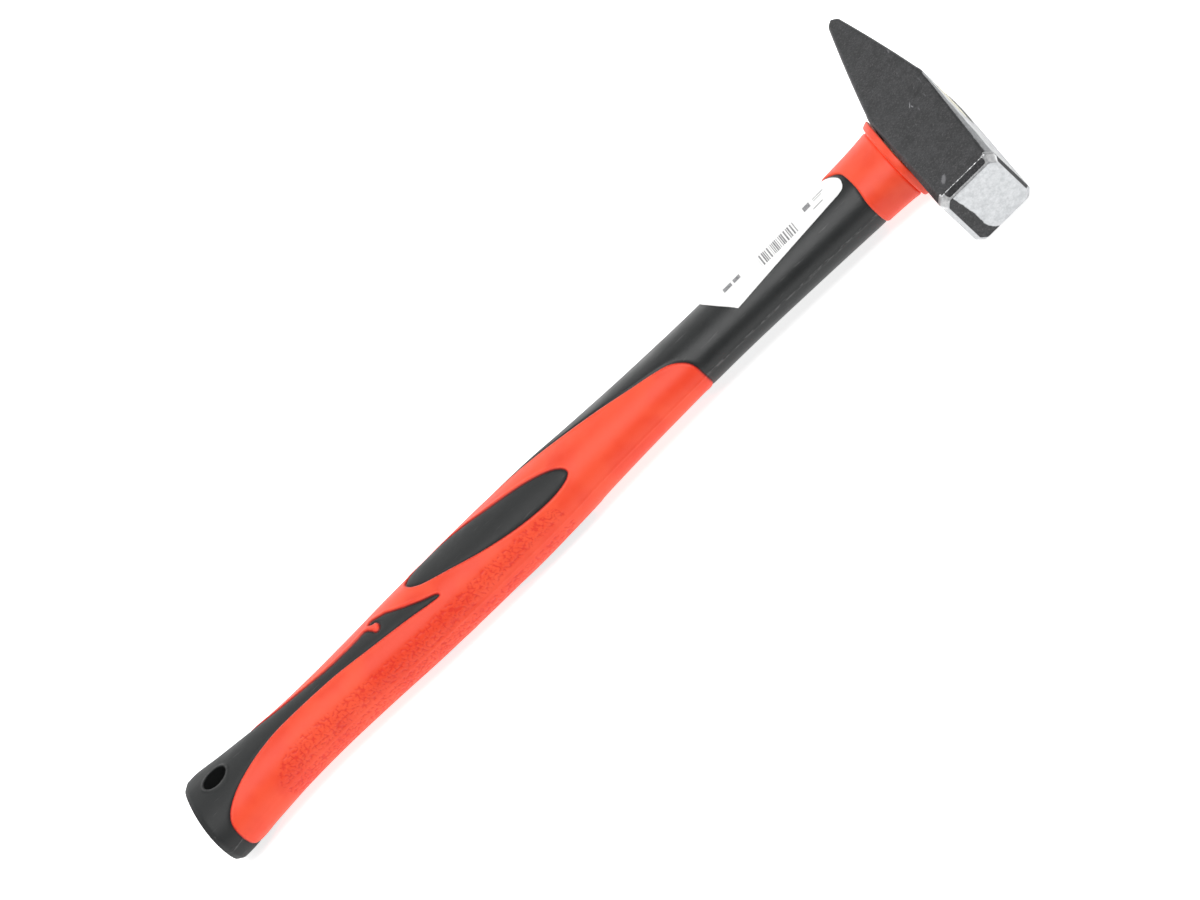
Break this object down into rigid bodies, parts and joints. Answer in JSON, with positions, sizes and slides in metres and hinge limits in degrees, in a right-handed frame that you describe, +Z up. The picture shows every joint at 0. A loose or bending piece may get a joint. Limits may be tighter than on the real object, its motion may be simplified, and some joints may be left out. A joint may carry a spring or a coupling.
{
  "type": "cross-pein hammer",
  "caption": "Engineer's cross-pein hammer with a square steel head and a black fibreglass-cored handle with a red moulded grip and collar.",
  "frame": {"origin": "centre of the footprint on the floor, with the hammer lying on one cheek of its head and on the butt", "axes": "+X along the handle towards the head, -Y towards the striking face, +Y towards the pein, +Z up from the lower cheek to the upper cheek"},
  "size_m": [0.305, 0.1046, 0.0216],
  "materials": {
    "lacquered_steel": "matt dark lacquer over forged steel, the striking face ground bright",
    "black_plastic": "satin",
    "red_grip_rubber": "satin, with a raised wormy texture under the fingers",
    "red_collar_rubber": "satin",
    "glass_fibre": "pultruded rod with lengthwise fibres",
    "cast_resin": "gloss, as poured",
    "white_paper": "semi-gloss sticker"
  },
  "bodies": {
    "root": {"hammer_head": "lacquered_steel", "fibreglass_core": "glass_fibre", "eye_resin": "cast_resin", "handle_body": "black_plastic", "grip_sleeve": "red_grip_rubber", "guard_collar": "red_collar_rubber", "label": "white_paper"}
  },
  "joints": []
}
